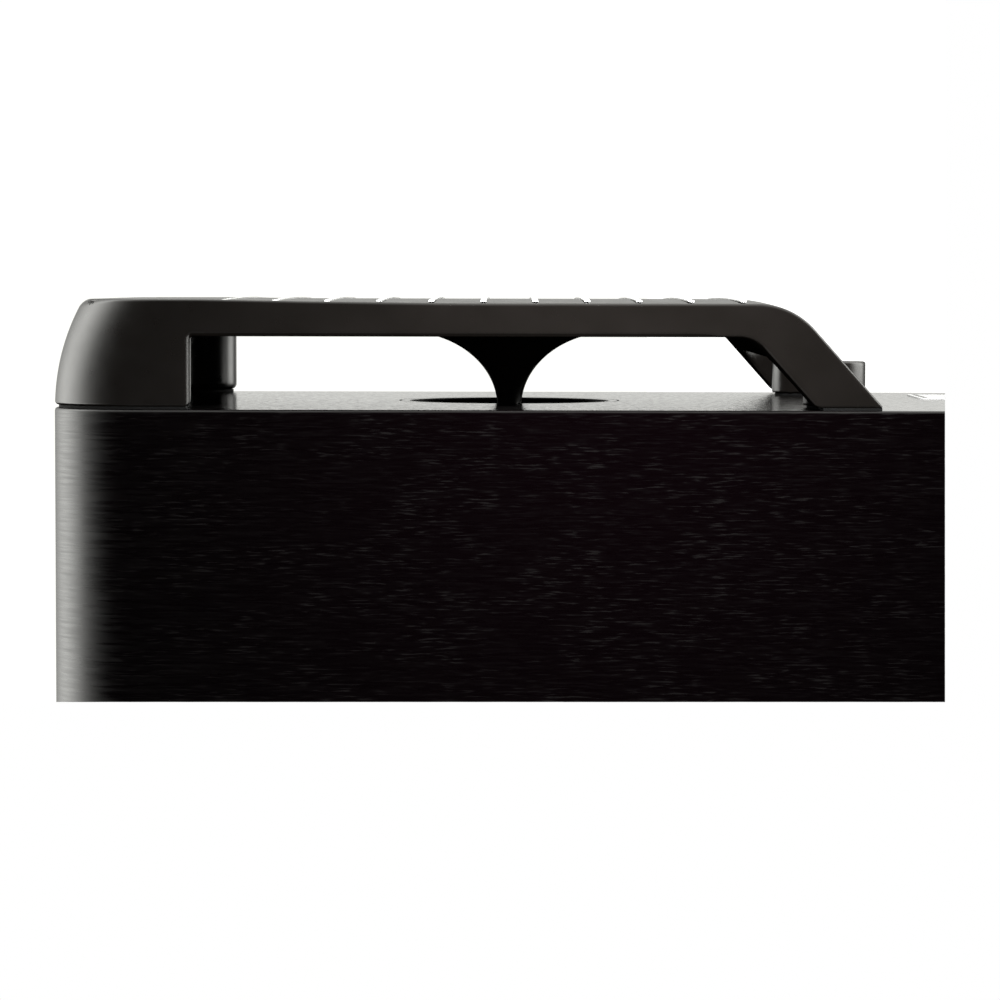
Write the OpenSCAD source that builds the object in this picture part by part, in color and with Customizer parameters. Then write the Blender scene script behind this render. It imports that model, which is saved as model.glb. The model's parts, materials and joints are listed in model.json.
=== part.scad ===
// Vented two-way bookshelf loudspeaker, standing upright on its flat bottom.
// The front faces -Y and the rear, with its port bracket, faces +Y.
// The origin is under the middle of the overall box, on the surface it stands on.

/* [Cabinet] */
// Outer width of the cabinet
cab_w = 190; // [186:1:220]
// Outer height of the cabinet
cab_h = 360; // [356:1:400]
// Depth of the cabinet, from the baffle's face to the rear panel's face
cab_d = 240; // [236:1:280]
// Radius of the four long rounded edges
corner_r = 26; // [20:1:30]
// Thickness of the wrapped side, top, bottom and rear boards
wall = 15; // [14:1:16]
// Thickness of the front baffle
baffle_t = 18; // [18:1:20]

/* [Port] */
// Distance of the port's centre below the top
port_drop = 134.5; // [130:0.5:137]
// Inner radius of the port tube
port_r = 25; // [22:0.5:26]
// Radius of the flare at the port's mouth
flare_r = 7.25; // [6:0.25:8]
// Length of the port, from the rear face inwards
port_len = 120; // [100:1:124]

/* [Port bracket] */
// Height of the bracket's top above the rear panel
bracket_h = 31.9; // [30:0.1:36]
// Height of the bridge's underside above the rear panel
bridge_gap = 21.2; // [20:0.2:24]
// Thickness of the foam gasket under the bracket
foam_t = 0.8; // [0.5:0.1:1.5]
// Length of the bracket down the rear panel
bracket_len = 243.8; // [240:0.2:246]
// Width of each slanted leg
leg_w = 20; // [18:1:22]
// Number of raised bars across the bridge
bar_count = 11; // [4:1:11]

/* [Woofer] */
// Height of the woofer's centre
woofer_z = 140; // [138:1:142]
// Outer radius of the woofer's flange
woofer_r = 83; // [82:0.5:84]
// Radius of the woofer's magnet
magnet_r = 45; // [42:1:48]

/* [Tweeter] */
// Height of the tweeter's centre
tweeter_z = 289; // [288:1:292]
// Outer radius of the tweeter's faceplate
tweeter_r = 50; // [48:1:51]
// Radius of the dome
dome_r = 12.7; // [12.5:0.1:12.7]

/* [Terminals] */
// Height of the terminal plate's centre
plate_z = 40; // [40:1:42]
// Distance between the two binding posts, the standard for double plugs
post_pitch = 19.05; // [19.05:0.05:19.05]
// Radius of the 4 mm plug sockets
socket_r = 2; // [2:0.05:2.1]

/* [Hidden] */
$fn = 96;
trim_t = 3.5;
bar_t = 0.4;
total_d = trim_t + cab_d + bracket_h + bar_t;
y_front = -total_d / 2 + trim_t;
y_rear = y_front + cab_d;
y_in = y_front + baffle_t;
y_back = y_rear - wall;
port_z = cab_h - port_drop;
fit = 0.05;

// ---- placing ----

// Extrudes a front-view outline, drawn in X and Z, from y0 to y1.
module slab(y0, y1) {
    translate([0, y1, 0]) rotate([90, 0, 0]) linear_extrude(y1 - y0) children();
}

// Extrudes a side-view profile, drawn in Y and Z, across the width w.
module across(w) {
    rotate([90, 0, 90]) linear_extrude(w, center = true) children();
}

// Turns local +Z out of the front, at x and z, with local Z = 0 on the baffle's face.
module on_front(z, x = 0) {
    translate([x, y_front, z]) rotate([90, 0, 0]) children();
}

// Turns local +Z out of the rear, at x and z, with local Z = 0 on the rear panel's face.
module on_rear(z, x = 0) {
    translate([x, y_rear, z]) rotate([90, 0, 180]) children();
}

// ---- shared shapes ----

module round_rect(w, h, r) {
    square([w - 2 * r, h], center = true);
    square([w, h - 2 * r], center = true);
    for (sx = [-1, 1], sy = [-1, 1])
        translate([sx * (w / 2 - r), sy * (h / 2 - r)]) circle(r);
}

module ring(r_in, r_out, z0, z1) {
    translate([0, 0, z0]) difference() {
        cylinder(r = r_out, h = z1 - z0);
        translate([0, 0, -1]) cylinder(r = r_in, h = z1 - z0 + 2);
    }
}

module disc(r, z0, z1) {
    translate([0, 0, z0]) cylinder(r = r, h = z1 - z0);
}

// A screw along local +Z: shank from z_tip to z_seat, and a head of height head_h on the seat.
module screw(r, z_tip, z_seat, head_r, head_h) {
    difference() {
        union() {
            disc(r, z_tip, z_seat);
            disc(head_r, z_seat, z_seat + head_h);
        }
        translate([0, 0, z_seat + head_h - 1.2]) cylinder(r = head_r * 0.45, h = 3, $fn = 6);
    }
}

// Evenly spaced copies on a circle.
module around(count, r, start = 0) {
    for (i = [0 : count - 1]) rotate(start + i * 360 / count) translate([r, 0, 0]) children();
}

function unit(v) = v / norm(v);

// The direction in which a route passes its point i.
function heading(route, i) = unit(
    (i < len(route) - 1 ? unit(route[i + 1] - route[i]) : [0, 0, 0])
    + (i > 0 ? unit(route[i] - route[i - 1]) : [0, 0, 0])
);

// The ring of points round a route's point i.
function wire_ring(route, i, r, sides) =
    let (d = heading(route, i), u = unit(cross(d, [1, 0, 0])), v = cross(d, u))
    [for (k = [0 : sides - 1]) route[i] + r * (u * cos(360 * k / sides) + v * sin(360 * k / sides))];

// A round wire swept along a route.
module wire(route, r, sides = 8) {
    last = len(route) - 1;
    polyhedron(
        points = [for (i = [0 : last]) each wire_ring(route, i, r, sides)],
        faces = concat(
            [[for (k = [0 : sides - 1]) k]],
            [[for (k = [sides - 1 : -1 : 0]) last * sides + k]],
            [for (i = [0 : last - 1], k = [0 : sides - 1]) let (next = (k + 1) % sides)
                [i * sides + k, (i + 1) * sides + k, (i + 1) * sides + next, i * sides + next]]
        )
    );
}

function arc(cx, cy, r, a0, a1, n) = [
    for (i = [0 : n]) [cx + r * cos(a0 + (a1 - a0) * i / n), cy + r * sin(a0 + (a1 - a0) * i / n)]
];

// ---- cabinet ----

module cabinet_outline(inset = 0) {
    translate([0, cab_h / 2]) round_rect(cab_w - 2 * inset, cab_h - 2 * inset, corner_r - inset);
}

module cabinet_wrap() color("#17181a") difference() {
    slab(y_in, y_rear) difference() {
        cabinet_outline();
        cabinet_outline(wall);
    }
    bracket_screw_places() disc(1.75 + fit, -12, 1);
}

rebate_d = 5;
tweeter_rebate_d = 4;
woofer_hole_r = 74.5;
tweeter_hole_r = 38;
woofer_screw_ring = 79.3;
tweeter_screw_ring = 43.5;

module front_baffle() color("#202123") difference() {
    slab(y_front, y_in) cabinet_outline();
    on_front(woofer_z) {
        disc(woofer_hole_r, -baffle_t - 1, 1);
        disc(woofer_r + 0.4, -rebate_d, 1);
        around(6, woofer_screw_ring, 30) disc(1.75 + fit, -16, 0);
    }
    on_front(tweeter_z) {
        disc(tweeter_hole_r, -baffle_t - 1, 1);
        disc(tweeter_r + 0.3, -tweeter_rebate_d, 1);
        around(4, tweeter_screw_ring, 45) disc(1.5 + fit, -15, 0);
    }
}

cup_w = 70;
cup_h = 38;

module rear_panel() color("#17181a") difference() {
    slab(y_back, y_rear) cabinet_outline(wall);
    on_rear(port_z) {
        disc(port_r + flare_r + 0.15, -wall - 1, 1);
        disc(port_r + flare_r + 2.4, -2.5, 1);
    }
    on_rear(plate_z) {
        translate([0, 0, -wall - 1]) linear_extrude(wall + 2) round_rect(cup_w + 1, cup_h + 1, 5);
        plate_screw_places() disc(1.5 + fit, -12, 1);
    }
    bracket_screw_places() disc(1.75 + fit, -12, 1);
}

module window_brace() color("#b08a5c") {
    brace_y = y_front + 95;
    brace_t = 12;
    window_w = cab_w - 2 * wall - 40;
    window_h = 86;
    window_pitch = 106;
    slab(brace_y, brace_y + brace_t) difference() {
        cabinet_outline(wall);
        for (i = [-1 : 1])
            translate([0, cab_h / 2 + i * window_pitch]) round_rect(window_w, window_h, 15);
    }
}

module damping_wadding() color("#e6e4dc") {
    batt_t = 20;
    batt_w = 148;
    batt_h = 256;
    slab(y_back - batt_t, y_back) difference() {
        translate([0, cab_h - wall - batt_h / 2 - 9]) round_rect(batt_w, batt_h, 8);
        translate([0, port_z]) circle(port_r + 5);
    }
}

module rating_label() color("#c9cbc9") {
    label_w = 41;
    label_h = 24;
    slab(y_rear, y_rear + 0.3) translate([-42, cab_h - 278]) round_rect(label_w, label_h, 3);
}

// ---- port ----

flare_mouth_r = port_r + flare_r;
tube_t = 2.5;

module port_tube() color("#0c0d0e") on_rear(port_z) rotate_extrude() {
    translate([port_r, -port_len + 5]) square([tube_t, port_len - 5 - flare_r]);
    translate([flare_mouth_r - 0.5, -2.3]) square([2.6, 2.3]);
    // the mouth's flare
    intersection() {
        translate([flare_mouth_r, -flare_r]) difference() {
            circle(flare_r);
            circle(flare_r - tube_t);
        }
        translate([port_r - 1, -flare_r]) square([flare_r + 1, flare_r + 1]);
    }
    // the smaller flare at the inner end
    intersection() {
        translate([port_r + 5, 5 - port_len]) difference() {
            circle(5);
            circle(5 - tube_t);
        }
        translate([port_r - 1, -port_len - 1]) square([6, 6]);
    }
}

// ---- port bracket ----

// In the bracket's side profile t is the distance down from the cabinet's top, and h the
// height above the rear panel. at() turns them into Y and Z.
function at(t, h) = [y_rear + h, cab_h - t];
lean_r = 64;
end_round = 2.5;
slope = 48.4;
knee_r = 22.5;
inner_knee_r = 10;
leg_foot = 19.5;
crown_r = 8000;
side_gap = 0.6;
lip_chamfer = 1.4;
arm_w = 14;
arm_end_t = 42;
arm_round = 10;
bay_t = 24;
bay_r = 8;
boss_r = 9.2;
boss_h = 13;
boss_t = 231;
boss_x = cab_w / 2 - leg_w - boss_r + 0.2;
screw_x = 79;
screw_t = 16;
leg_cut_t = 212;

function lean(h) = lean_r - sqrt(lean_r * lean_r - h * h);

// The point where the slanted line that starts at foot t0 on the panel reaches height h.
function slant_t(t0, h) = t0 - h / tan(slope);

module outer_profile() {
    knee_t = slant_t(bracket_len, bracket_h) - knee_r * tan(slope / 2);
    steps = 12;
    rise = bracket_h - end_round - foam_t;
    curve = [for (i = [0 : steps]) let (h = foam_t + rise * i / steps) at(lean(h), h)];
    top_t = lean(bracket_h - end_round) + end_round;
    edge = [for (p = arc(top_t, bracket_h - end_round, end_round, 180, 90, 6)) at(p[0], p[1])];
    knee = [for (p = arc(knee_t, bracket_h - knee_r, knee_r, 90, 90 - slope, 12)) at(p[0], p[1])];
    foot = [at(slant_t(bracket_len, foam_t), foam_t)];
    polygon(concat(curve, edge, knee, foot));
}

module under_profile() {
    foot = bracket_len - leg_foot;
    knee_t = slant_t(foot, bridge_gap) - inner_knee_r * tan(slope / 2);
    knee = [
        for (p = arc(knee_t, bridge_gap - inner_knee_r, inner_knee_r, 90, 90 - slope, 8)) at(p[0], p[1])
    ];
    polygon(concat([at(-1, -1), at(-1, bridge_gap)], knee, [at(slant_t(foot, -1), -1)]));
}

// Plan of the space that the port breathes into: a bay in the block between two arms, whose
// ends are rounded on the inside, and everything below the arms. The bay can be grown.
module breathing_plan(grow = 0) {
    half_w = cab_w / 2 - arm_w + grow;
    end_y = cab_h - arm_end_t + grow;
    bay_h = bracket_len - bay_t + grow;
    translate([0, cab_h - bay_t + grow - bay_h / 2]) round_rect(2 * half_w, bay_h, bay_r);
    translate([-cab_w, end_y - bracket_len]) square([2 * cab_w, bracket_len]);
    for (sx = [-1, 1]) translate([sx * (half_w + arm_round / 2), end_y + arm_round / 2]) difference() {
        square(arm_round, center = true);
        translate([sx * arm_round / 2, arm_round / 2]) circle(arm_round);
    }
}

module bracket_plan() {
    intersection() {
        translate([0, cab_h / 2]) round_rect(cab_w - 2 * side_gap, cab_h, corner_r);
        translate([-cab_w / 2, cab_h - bracket_len - 1]) square([cab_w, bracket_len + 1]);
    }
}

// The bevels along the bridge's two lower edges, between the arms and the legs.
module lip_bevels() {
    edge = cab_w / 2 - side_gap;
    low = y_rear + bridge_gap;
    for (sx = [-1, 1])
        translate([0, 0, cab_h - leg_cut_t + leg_foot]) linear_extrude(leg_cut_t - leg_foot - arm_end_t)
            polygon([
                [sx * (edge - lip_chamfer - 1), low - 1], [sx * (edge + 1), low + lip_chamfer + 1],
                [sx * (edge + 1), low - 1]
            ]);
}

// The gap between the two legs, with rounded inner corners.
module leg_gap_plan() {
    gap_w = cab_w - 2 * leg_w;
    gap_l = 80;
    translate([0, cab_h - leg_cut_t - gap_l / 2]) round_rect(gap_w, gap_l, 12);
}

// Everything below the bridge's gently crowned top, raised by lift.
module crowned(lift = 0) {
    half = cab_w / 2 + 2;
    steps = 12;
    top = [
        for (i = [0 : steps]) let (x = half - 2 * half * i / steps)
            [x, y_rear + bracket_h + lift - crown_r + sqrt(crown_r * crown_r - x * x)]
    ];
    linear_extrude(cab_h) polygon(concat([[-half, y_rear - 2], [half, y_rear - 2]], top));
}

module bracket_screw_places() {
    for (sx = [-1, 1]) {
        on_rear(cab_h - screw_t, sx * screw_x) children();
        on_rear(cab_h - boss_t, sx * boss_x) children();
    }
}

module block_pockets() {
    pocket_x = 33;
    pocket_wall = 11;
    slab(y_rear - 1, y_rear + bracket_h - 4) for (i = [-1 : 1])
        intersection() {
            difference() {
                cabinet_outline(pocket_wall);
                breathing_plan(3);
            }
            translate([i * 42 - pocket_x / 2, cab_h - 40]) square([pocket_x, 40]);
        }
}

module port_bracket() color("#2a2928") difference() {
    union() {
        difference() {
            intersection() {
                across(cab_w + 2) outer_profile();
                slab(y_rear - 1, y_rear + bracket_h + 5) bracket_plan();
                crowned();
            }
            intersection() {
                across(cab_w + 4) under_profile();
                slab(y_rear - 2, y_rear + bridge_gap + 1) breathing_plan();
            }
            slab(y_rear - 2, y_rear + bracket_h + 6) leg_gap_plan();
        }
        for (sx = [-1, 1]) {
            on_rear(cab_h - boss_t, sx * boss_x) disc(boss_r, foam_t, boss_h + foam_t);
            on_rear(cab_h - boss_t, sx * (boss_x + boss_r / 2 + 1))
                translate([-5, -3, foam_t]) cube([10, 6, boss_h - 4]);
        }
    }
    lip_bevels();
    block_pockets();
    for (sx = [-1, 1]) {
        on_rear(cab_h - screw_t, sx * screw_x) screw_well(bracket_h);
        on_rear(cab_h - boss_t, sx * boss_x) screw_well(boss_h);
    }
    on_rear(port_z) {
        disc(2.1, bridge_gap - 1, bracket_h + 1);
        disc(4.2, bracket_h - 3.2, bracket_h + 1);
    }
}

well_seat = 7;

module screw_well(top) {
    disc(1.75 + 0.3, -1, top + 2);
    disc(4.5, well_seat, top + 2);
}

module bracket_screws() color("#0e0e0f") {
    bracket_screw_places() screw(1.75, -12, well_seat, 3.6, 2.6);
}

foam_inset = 1.2;

module bracket_gasket() color("#050505") difference() {
    slab(y_rear, y_rear + foam_t) {
        difference() {
            intersection() {
                cabinet_outline(foam_inset);
                translate([-cab_w / 2, cab_h - arm_end_t]) square([cab_w, arm_end_t]);
            }
            breathing_plan(foam_inset);
        }
        for (sx = [-1, 1]) {
            translate([sx * (cab_w / 2 - leg_w / 2), cab_h - bracket_len + leg_foot / 2])
                square([leg_w - 2 * foam_inset, leg_foot - 2 * foam_inset], center = true);
            translate([sx * boss_x, cab_h - boss_t]) circle(boss_r - 1);
        }
    }
    bracket_screw_places() disc(1.75 + fit, -1, foam_t + 1);
}

// Radius of the trumpet-shaped diffuser at height h above the panel.
neck_r = 3.8;
trumpet_a = 29;
trumpet_b = 23.5;
trumpet_low = -2;
function trumpet(h) = neck_r + trumpet_a * (1 - sqrt(1 - pow((h - trumpet_low) / trumpet_b, 2)));

module diffuser_cone() color("#1d1c1b") on_rear(port_z) {
    rim = 0.7;
    steps = 22;
    outer = [
        for (i = [0 : steps])
            let (h = trumpet_low + (bridge_gap - rim - trumpet_low) * sin(90 * i / steps)) [trumpet(h), h]
    ];
    tip = [[0, trumpet_low - 12], [1.6, trumpet_low - 11.4], [2.4, trumpet_low - 10]];
    difference() {
        rotate_extrude() polygon(concat(tip, outer, [
            [trumpet(bridge_gap - rim), bridge_gap], [0, bridge_gap]
        ]));
        // hollow behind the flare, round a screw column
        rotate_extrude() {
            low = 14;
            high = bridge_gap - 1.6;
            column_r = 4.6;
            skin_t = 3;
            inner = [
                for (i = [0 : 8]) let (h = low + (high - low) * i / 8) [trumpet(h) - skin_t, h + 1.5]
            ];
            back = [[trumpet(high) - skin_t, bridge_gap + 1], [column_r, bridge_gap + 1]];
            polygon(concat([[column_r, low + 1.5]], inner, back));
        }
        disc(2, 8, bridge_gap + 1);
    }
}

module cone_screw() color("#0e0e0f") on_rear(port_z) {
    screw(2 - fit, 8.5, bracket_h - 3.2, 3.9, 2.4);
}

bar_w = 1.6;
bar_pitch = 15.1;
bar_side = 4;

module bracket_bars() color("#d8d8d6") intersection() {
    for (i = [0 : bar_count - 1])
        translate([0, y_rear + bracket_h, port_z + (i - 4.5) * bar_pitch])
            cube([cab_w - 2 * bar_side, 8, bar_w], center = true);
    difference() {
        crowned(bar_t);
        crowned();
    }
}

// ---- terminals ----

plate_w = 84;
plate_h = 48;
plate_t = 2.5;
cup_depth = 20;
cup_wall = 2.5;
plate_gap = 1;
floor_out = plate_gap + plate_t - cup_depth;

module plate_screw_places() {
    for (sx = [-1, 1], sy = [-1, 1])
        translate([sx * (plate_w / 2 - 3.6), sy * (plate_h / 2 - 4.5), 0]) children();
}

module terminal_plate() color("#161718") on_rear(plate_z) difference() {
    union() {
        translate([0, 0, plate_gap]) linear_extrude(plate_t) round_rect(plate_w, plate_h, 5);
        translate([0, 0, floor_out - cup_wall])
            linear_extrude(cup_depth + cup_wall - 1) round_rect(cup_w, cup_h, 5);
    }
    translate([0, 0, floor_out])
        linear_extrude(cup_depth + 1) round_rect(cup_w - 2 * cup_wall, cup_h - 2 * cup_wall, 3.5);
    plate_screw_places() {
        disc(1.7, 0, 5);
        disc(3.2, plate_gap + 1.4, 5);
    }
    for (sx = [-1, 1]) translate([sx * post_pitch / 2, 0, 0]) disc(3 + fit, floor_out - 5, 0);
}

module terminal_gasket() color("#050505") on_rear(plate_z) difference() {
    linear_extrude(plate_gap) difference() {
        round_rect(plate_w - 1, plate_h - 1, 5);
        round_rect(cup_w + 1, cup_h + 1, 5);
    }
    plate_screw_places() disc(1.7, -1, 2);
}

module terminal_screws() color("#0e0e0f") on_rear(plate_z) {
    plate_screw_places() screw(1.5, -12, plate_gap + 1.4, 2.9, 1.1);
}

collar_h = 4;
washer_h = 1;
knob_h = 13;
knob_r = 6.4;
stud_top = floor_out + collar_h + washer_h + knob_h - 1;
stud_tail = floor_out - cup_wall - 12;
socket_len = 12;

module post_stud() {
    difference() {
        disc(3, stud_tail, stud_top);
        disc(socket_r, stud_top - socket_len, stud_top + 1);
    }
}

module post_collar() {
    ring(3 + fit, 6.6, floor_out, floor_out + collar_h);
}

module post_washer() {
    ring(3 + fit, 5.6, floor_out + collar_h, floor_out + collar_h + washer_h);
}

module post_knob() {
    z0 = floor_out + collar_h + washer_h;
    difference() {
        union() {
            disc(knob_r - 0.5, z0, z0 + knob_h);
            around(12, knob_r - 0.7) disc(0.7, z0 + 1.5, z0 + knob_h - 1);
        }
        disc(3 + fit, z0 - 1, z0 + knob_h + 1);
    }
}

module at_red() on_rear(plate_z, -post_pitch / 2) children();
module at_black() on_rear(plate_z, post_pitch / 2) children();

module red_post_stud() color("#c9a64a") at_red() post_stud();
module red_post_collar() color("#a01818") at_red() post_collar();
module red_post_washer() color("#c9a64a") at_red() post_washer();
module red_post_knob() color("#a01818") at_red() post_knob();
module black_post_stud() color("#c9a64a") at_black() post_stud();
module black_post_collar() color("#111111") at_black() post_collar();
module black_post_washer() color("#c9a64a") at_black() post_washer();
module black_post_knob() color("#111111") at_black() post_knob();

nut_t = 3.5;

module post_nuts() color("#c9a64a") on_rear(plate_z) {
    for (sx = [-1, 1]) translate([sx * post_pitch / 2, 0, floor_out - cup_wall - nut_t]) difference() {
        cylinder(r = 5.6, h = nut_t, $fn = 6);
        translate([0, 0, -1]) cylinder(r = 3 + fit, h = nut_t + 2);
    }
}

// ---- crossover ----

board_top = wall + 6 + 1.6;
board_y = y_front + 152;
board_w = 104;
board_d = 80;

module board_corners() {
    for (sx = [-1, 1], sy = [-1, 1])
        translate([sx * (board_w / 2 - 6), board_y + sy * (board_d / 2 - 6), 0]) children();
}

module crossover_board() color("#2c5a34") difference() {
    translate([0, board_y, board_top - 1.6]) linear_extrude(1.6) round_rect(board_w, board_d, 3);
    board_corners() disc(1.6, 0, board_top + 1);
}

module board_standoffs() color("#d8d5c8") {
    board_corners() ring(1.5 + fit, 3.2, wall, board_top - 1.6);
}

module board_screws() color("#b9bbbd") {
    board_corners() screw(1.5, wall + 1, board_top, 2.8, 2);
}

module woofer_inductor() color("#b4632a") translate([-24, board_y - 8, board_top]) {
    ring(9, 22, 2, 20);
    ring(9, 24, 0, 2);
    ring(9, 24, 20, 22);
}

module tweeter_inductor() color("#b4632a") {
    translate([24, board_y + 20, board_top + 17]) rotate([0, 90, 0]) {
        ring(8, 15, -7, 7);
        ring(8, 17, -9, -7);
        ring(8, 17, 7, 9);
    }
}

module capacitor(x, y, r, length, turn = 0) {
    translate([x, board_y + y, board_top + r]) rotate([0, 90, turn])
        cylinder(r = r, h = length, center = true);
}

module board_capacitors() color("#c9b23c") {
    capacitor(25, -27, 9, 36);
    capacitor(28, -8, 7.5, 28);
    capacitor(42, 19, 6, 22, 90);
}

module board_resistors() color("#e4e1d8") {
    for (i = [0, 1])
        translate([-36 + i * 27, board_y + 25, board_top + 4.5]) cube([23, 9, 9], center = true);
}

// ---- leads held inside the cabinet ----

lead_r = 1.1;

module input_leads() color("#8c1d1d") {
    for (sx = [-1, 1]) wire([
        [sx * post_pitch / 2, y_rear + stud_tail - 0.2, plate_z],
        [sx * post_pitch / 2, y_rear + stud_tail - 3, plate_z],
        [sx * 9, board_y + 37, 30],
        [sx * 9, board_y + 37, board_top + 0.1]
    ], lead_r);
}

module woofer_leads() color("#22242a") {
    for (sx = [-1, 1]) wire([
        [sx * 4, board_y - 38, board_top + 0.1],
        [sx * 4, board_y - 38, 44],
        [sx * 5, y_front + 84, 60],
        [sx * 6, y_front + 56, 66],
        [sx * 6, y_front + 44.2, woofer_z - 62]
    ], lead_r);
}

module tweeter_leads() color("#22242a") {
    for (sx = [-1, 1]) wire([
        [sx * 48, board_y - 28, board_top + 0.5],
        [sx * 48, board_y - 36, 60],
        [sx * 52, y_front + 86, 72],
        [sx * 52, y_front + 86, 226],
        [sx * 12, y_front + 50, tweeter_z - 46],
        [sx * 6, y_front + 23.4, tweeter_z - 40]
    ], lead_r);
}

// ---- woofer, with local +Z out of the baffle ----

frame_t = 4;
lip_t = 1.5;
lip_r = 67;
lip_out_r = 76;
shelf_z = -34;
basket_z = -46;

module woofer_basket() color("#1b1c1e") on_front(woofer_z) difference() {
    rotate_extrude() polygon([
        [woofer_r, 0], [woofer_r, -frame_t], [74, -frame_t], [72, -8], [53, shelf_z - 2],
        [53, basket_z], [24, basket_z], [24, basket_z + 3], [45, basket_z + 3], [45, shelf_z],
        [50.5, shelf_z], [lip_r, -8], [lip_r, -lip_t], [lip_out_r, -lip_t], [lip_out_r, 0]
    ]);
    // six windows between the spokes
    for (i = [0 : 5]) rotate(60 * i) translate([47, -20, shelf_z + 1]) cube([34, 40, 23]);
    around(6, woofer_screw_ring, 30) {
        disc(1.75 + 0.2, -6, 1);
        disc(3, -2.5, 1);
    }
    // open back of the ring, for the voice coil
    disc(24, basket_z - 1, basket_z + 4);
}

module woofer_gasket() color("#050505") on_front(woofer_z) difference() {
    ring(75, woofer_r - 0.5, -rebate_d, -frame_t);
    around(6, woofer_screw_ring, 30) disc(2, -6, 0);
}

module woofer_screws() color("#0e0e0f") on_front(woofer_z) {
    around(6, woofer_screw_ring, 30) screw(1.75, -16, -2.5, 2.8, 2.2);
}

module woofer_trim_ring() color("#141414") on_front(woofer_z) rotate_extrude() polygon([
    [68.2, 0], [woofer_r - 0.4, 0], [woofer_r - 0.4, trim_t - 1.5],
    for (p = arc(woofer_r - 1.9, trim_t - 1.5, 1.5, 0, 90, 6)) p,
    [71.5, trim_t], [68.2, 1]
]);

roll_mid = 62.5;
roll_r = 4.5;
roll_z = -1.5;
skin = 0.9;

module woofer_surround() color("#0f0f10") on_front(woofer_z) rotate_extrude() {
    intersection() {
        translate([roll_mid, roll_z]) difference() {
            circle(roll_r + skin / 2);
            circle(roll_r - skin / 2);
        }
        translate([50, roll_z]) square([30, 10]);
    }
    translate([roll_mid - roll_r - 4, roll_z - 0.5]) square([4.4, skin]);
    translate([lip_r + 0.05, -lip_t]) square([lip_out_r - lip_r - 0.1, lip_t]);
    translate([roll_mid + roll_r - 0.4, roll_z]) square([1.2, skin]);
}

// Height of the cone's front face at radius r.
cone_neck_r = 13.05;
cone_rim_r = 54;
cone_neck_z = -24;
cone_rim_z = -2;
function cone_face(r) =
    cone_neck_z + (cone_rim_z - cone_neck_z) * pow((r - cone_neck_r) / (cone_rim_r - cone_neck_r), 0.8);

module woofer_cone() color("#232323") on_front(woofer_z) rotate_extrude() {
    steps = 16;
    wall_t = 1.2;
    reach = cone_rim_r - cone_neck_r;
    face = [for (i = [0 : steps]) let (r = cone_neck_r + reach * pow(i / steps, 1.3)) [r, cone_face(r)]];
    back = [for (i = [steps : -1 : 1]) [face[i][0], face[i][1] - wall_t]];
    neck_out_r = cone_neck_r + 1;
    neck_end = cone_neck_z - 4;
    neck = [[neck_out_r, cone_neck_z - 1], [neck_out_r, neck_end], [cone_neck_r, neck_end]];
    polygon(concat(face, [[58, cone_rim_z], [58, cone_rim_z - wall_t]], back, neck));
}

cap_r = 18;
cap_h = 6;

module woofer_dust_cap() color("#1a1a1a") on_front(woofer_z) rotate_extrude() {
    sphere_r = (cap_r * cap_r + cap_h * cap_h) / (2 * cap_h);
    base_z = cone_face(cap_r) + 0.05;
    intersection() {
        translate([0, base_z + cap_h - sphere_r]) difference() {
            circle(sphere_r, $fn = 180);
            circle(sphere_r - 0.8, $fn = 180);
        }
        translate([0, base_z]) square([cap_r + 1, cap_h + 1]);
    }
}

module woofer_voice_coil() color("#b4632a") on_front(woofer_z) {
    ring(12.65, 13, -56, cone_neck_z);
    ring(13, 13.5, -55, -43);
}

module woofer_spider() color("#c8a24c") on_front(woofer_z) rotate_extrude() {
    skin_t = 0.6;
    r0 = 13.6;
    r1 = 44;
    steps = 44;
    waves = 4;
    wave_h = 1.3;
    wave = [
        for (i = [0 : steps])
            [r0 + (r1 - r0) * i / steps, shelf_z + wave_h * sin(360 * waves * i / steps)]
    ];
    lower = [for (i = [steps : -1 : 0]) wave[i]];
    upper = [for (p = wave) [p[0], p[1] + skin_t]];
    polygon(concat(upper, [[50.2, shelf_z + skin_t], [50.2, shelf_z]], lower));
}

plate_steel = 6;
magnet_t = 18;
magnet_z = basket_z - plate_steel - magnet_t;

module woofer_top_plate() color("#a9acaf") on_front(woofer_z) {
    ring(13.9, magnet_r - 3, basket_z - plate_steel, basket_z);
}

module woofer_magnet() color("#3a3b3e") on_front(woofer_z) {
    ring(21, magnet_r, magnet_z, magnet_z + magnet_t);
}

module woofer_yoke() color("#a9acaf") on_front(woofer_z) difference() {
    union() {
        disc(magnet_r - 3, magnet_z - plate_steel, magnet_z);
        disc(12.2, magnet_z - 1, basket_z + 0.5);
    }
    disc(4, magnet_z - plate_steel - 1, basket_z + 2);
}

module woofer_tags() color("#c9a64a") on_front(woofer_z) {
    translate([-11, -55.2, basket_z + 1]) cube([22, 2.1, 9]);
    for (sx = [-1, 1]) translate([sx * 6 - 2.4, -61.5, basket_z + 3]) cube([4.8, 6.3, 0.8]);
}

// ---- tweeter, with local +Z out of the baffle ----

throat_r = 15.4;
throat_z = -7;
horn_r = 38;
motor_z = -10;
clamp_t = 0.5;
pole_z = motor_z - clamp_t - 4.5;

// Height of the waveguide's surface at radius r.
function horn(r) = throat_z * pow(1 - (r - throat_r) / (horn_r - throat_r), 2);

module tweeter_faceplate() color("#161617") on_front(tweeter_z) difference() {
    rotate_extrude() polygon(concat(
        [for (i = [0 : 14]) let (r = throat_r + (horn_r - throat_r) * i / 14) [r, horn(r)]],
        [[tweeter_r, 0], [tweeter_r, -tweeter_rebate_d], [37.5, -tweeter_rebate_d]],
        [[37.5, motor_z], [throat_r, motor_z]]
    ));
    around(4, tweeter_screw_ring, 45) {
        disc(1.5 + 0.2, -6, 1);
        disc(3.1, -1.9, 1);
    }
}

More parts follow.
